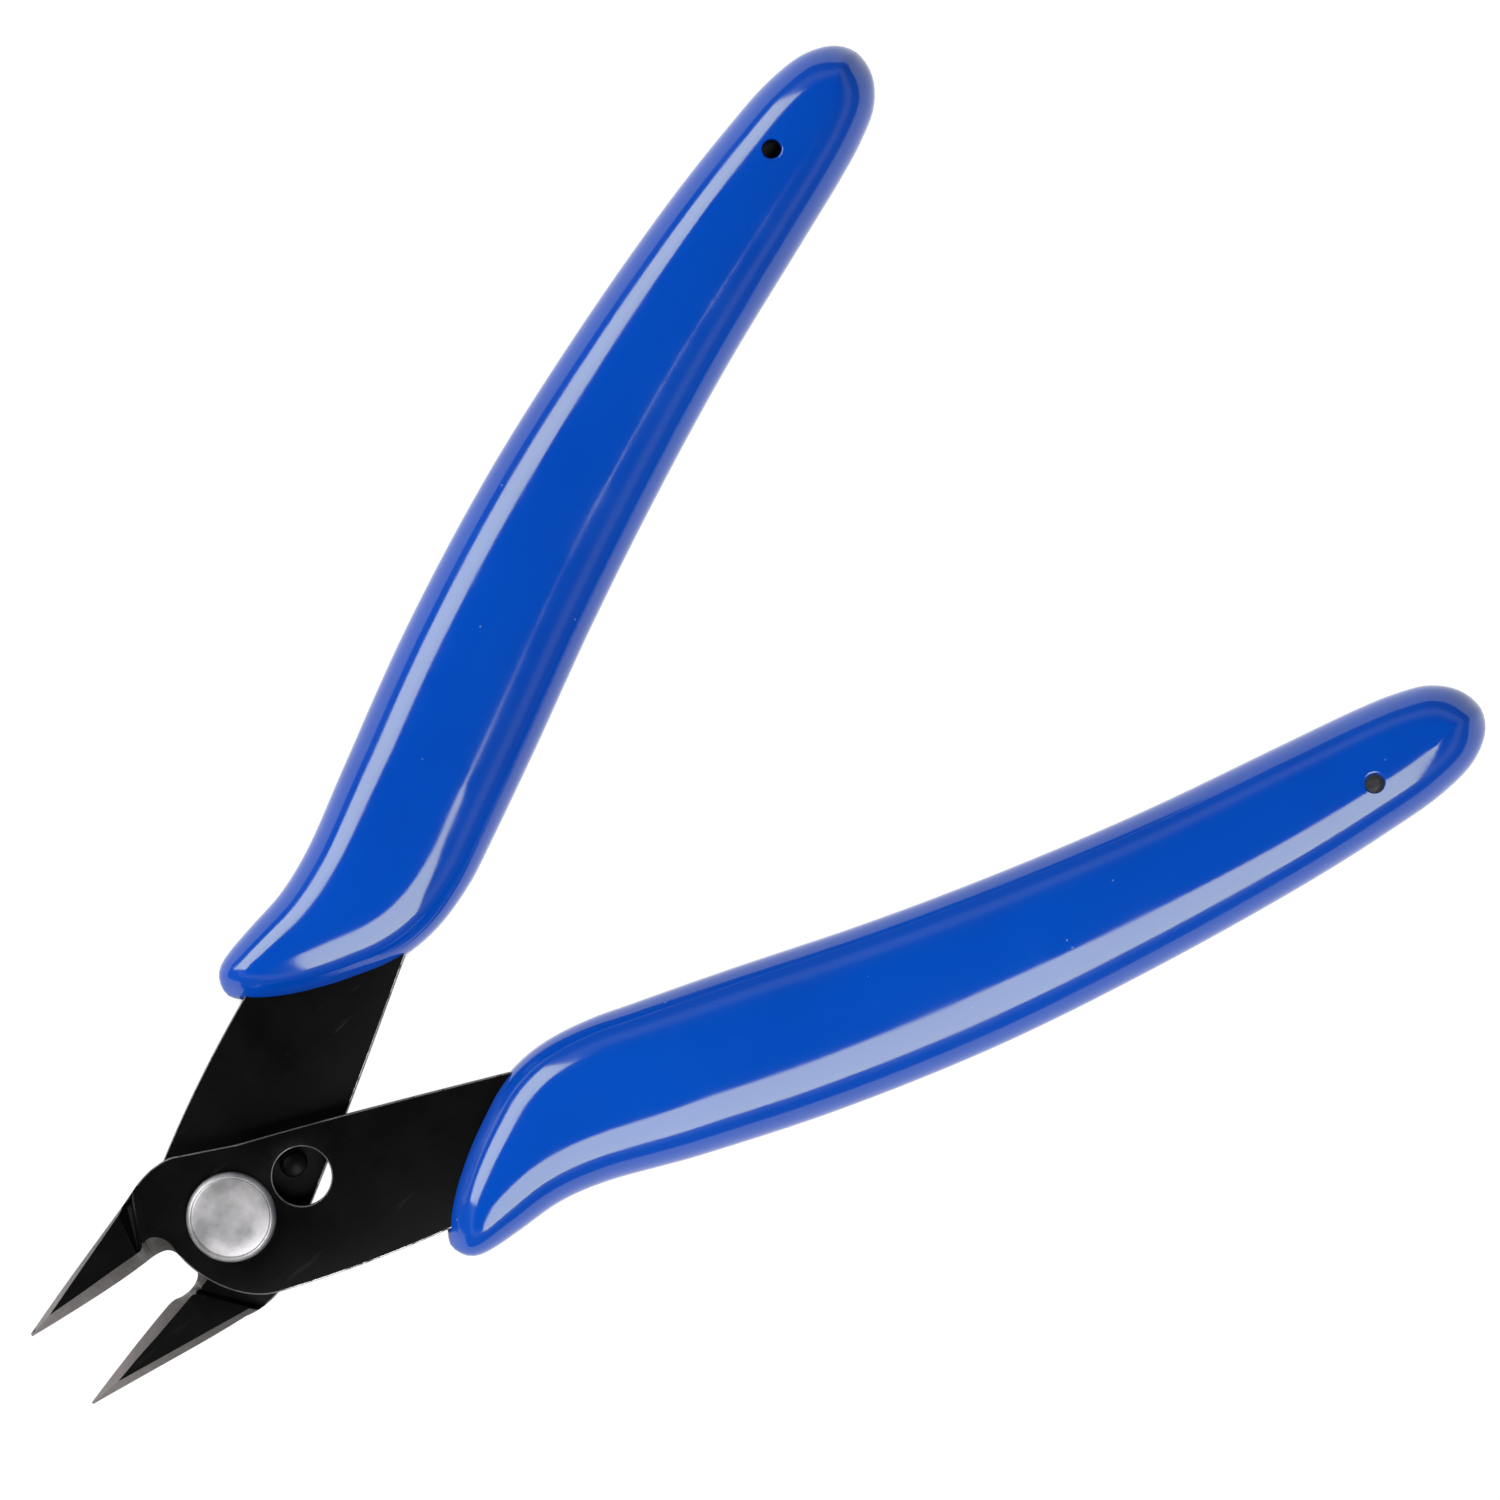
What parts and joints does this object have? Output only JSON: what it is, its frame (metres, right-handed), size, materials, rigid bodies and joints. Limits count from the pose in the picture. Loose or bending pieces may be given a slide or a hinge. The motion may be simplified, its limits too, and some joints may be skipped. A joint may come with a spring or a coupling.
{
  "type": "flush cutter",
  "caption": "Small hand cutter with two riveted plate levers, ground flush-cutting jaws, a wire return spring and moulded grips.",
  "frame": {"origin": "on the pivot axis, at the centre of the rivet's rear face", "axes": "+Z along the pivot axis towards the front lever, +X along the tool's centre line from the jaws to the grips, +Y towards the rear lever's grip"},
  "size_m": [0.1251, 0.0822, 0.012],
  "materials": {
    "black_oxide_steel": "satin black oxide with ground bright bevels",
    "rivet_steel": "satin, lightly worn",
    "spring_wire": "drawn wire",
    "blue_plastic": "glossy moulded vinyl"
  },
  "bodies": {
    "front_half": {"front_lever": "black_oxide_steel", "pivot_rivet": "rivet_steel", "rivet_washer": "rivet_steel", "front_grip": "blue_plastic"},
    "rear_half": {"rear_lever": "black_oxide_steel", "stop_pin": "black_oxide_steel", "rear_grip": "blue_plastic", "return_spring": "spring_wire"}
  },
  "joints": [
    {"name": "squeeze", "type": "hinge", "parent": "front_half", "child": "rear_half", "pos_m": [0, 0, 0], "axis": [0, 0, -1], "range_deg": [0, 21.8], "stiffness_Nm_per_rad": 0.14, "springref_deg": -2.86, "deforming": ["return_spring"]}
  ]
}
